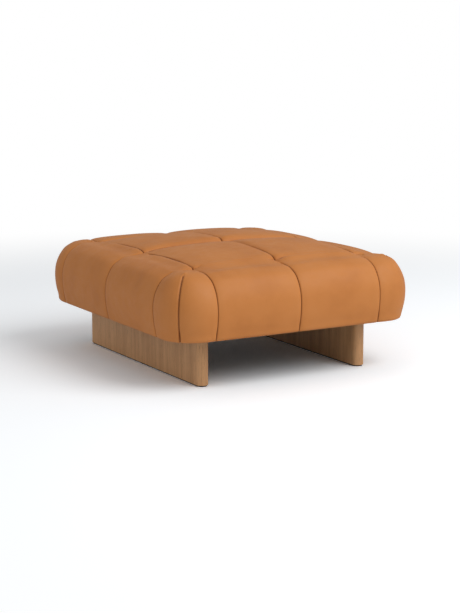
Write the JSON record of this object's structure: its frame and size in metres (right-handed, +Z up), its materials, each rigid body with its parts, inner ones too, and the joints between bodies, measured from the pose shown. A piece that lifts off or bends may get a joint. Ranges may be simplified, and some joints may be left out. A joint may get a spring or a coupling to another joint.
{
  "type": "ottoman",
  "caption": "Low square footstool with a thick leather cushion sewn and tufted into a grid of soft pads, resting on two round-ended oak plank legs that run from front to back.",
  "frame": {"origin": "middle of the footprint, on the floor under the glide strips", "axes": "+X to the right seen from the front, +Y from front to back along the plank legs, +Z up"},
  "size_m": [0.9072, 1.0054, 0.4074],
  "materials": {
    "leather": "smooth aniline leather, cognac tan, soft sheen, sewn in pads",
    "wadding": "soft white polyester fibre wadding",
    "foam_firm": "firm cold foam, cream",
    "foam_soft": "soft foam topper, off white",
    "plywood": "birch plywood, sanded, unfinished",
    "softwood": "planed pine, unfinished",
    "beech": "fluted beech dowel, unfinished",
    "oak": "oak with upright grain, matt lacquer",
    "zinc_steel": "zinc plated steel",
    "black_steel": "black powder coated steel",
    "twine": "waxed polyester twine",
    "washer_plastic": "moulded nylon, natural",
    "dust_cloth": "black non-woven dust cloth",
    "glide_rubber": "black rubber strip"
  },
  "bodies": {
    "root": {"top_panel_front_left": "leather", "top_panel_front_right": "leather", "top_panel_back_left": "leather", "top_panel_back_right": "leather", "corner_panel_front_left": "leather", "corner_panel_front_right": "leather", "corner_panel_back_left": "leather", "corner_panel_back_right": "leather", "left_panel_front": "leather", "left_panel_back": "leather", "right_panel_front": "leather", "right_panel_back": "leather", "front_panel_left": "leather", "front_panel_right": "leather", "back_panel_left": "leather", "back_panel_right": "leather", "top_wadding_front_left": "wadding", "top_wadding_front_right": "wadding", "top_wadding_back_left": "wadding", "top_wadding_back_right": "wadding", "corner_wadding_front_left": "wadding", "corner_wadding_front_right": "wadding", "corner_wadding_back_left": "wadding", "corner_wadding_back_right": "wadding", "left_wadding_front": "wadding", "left_wadding_back": "wadding", "right_wadding_front": "wadding", "right_wadding_back": "wadding", "front_wadding_left": "wadding", "front_wadding_right": "wadding", "back_wadding_left": "wadding", "back_wadding_right": "wadding", "foam_core": "foam_firm", "foam_topper": "foam_soft", "deck_board": "plywood", "front_rail": "softwood", "back_rail": "softwood", "left_rail": "softwood", "right_rail": "softwood", "left_leg_rail": "softwood", "right_leg_rail": "softwood", "centre_rail": "softwood", "corner_blocks": "softwood", "corner_dowels": "beech", "rail_screws": "zinc_steel", "deck_screws": "zinc_steel", "leg_screws": "zinc_steel", "glide_screws": "zinc_steel", "leg_inserts": "zinc_steel", "cover_staples": "zinc_steel", "leg_bolts": "black_steel", "leg_plate_left": "black_steel", "leg_plate_right": "black_steel", "tuft_ties": "twine", "tuft_washers": "washer_plastic", "dust_cover": "dust_cloth", "leg_left": "oak", "leg_right": "oak", "glide_left": "glide_rubber", "glide_right": "glide_rubber"}
  },
  "joints": []
}
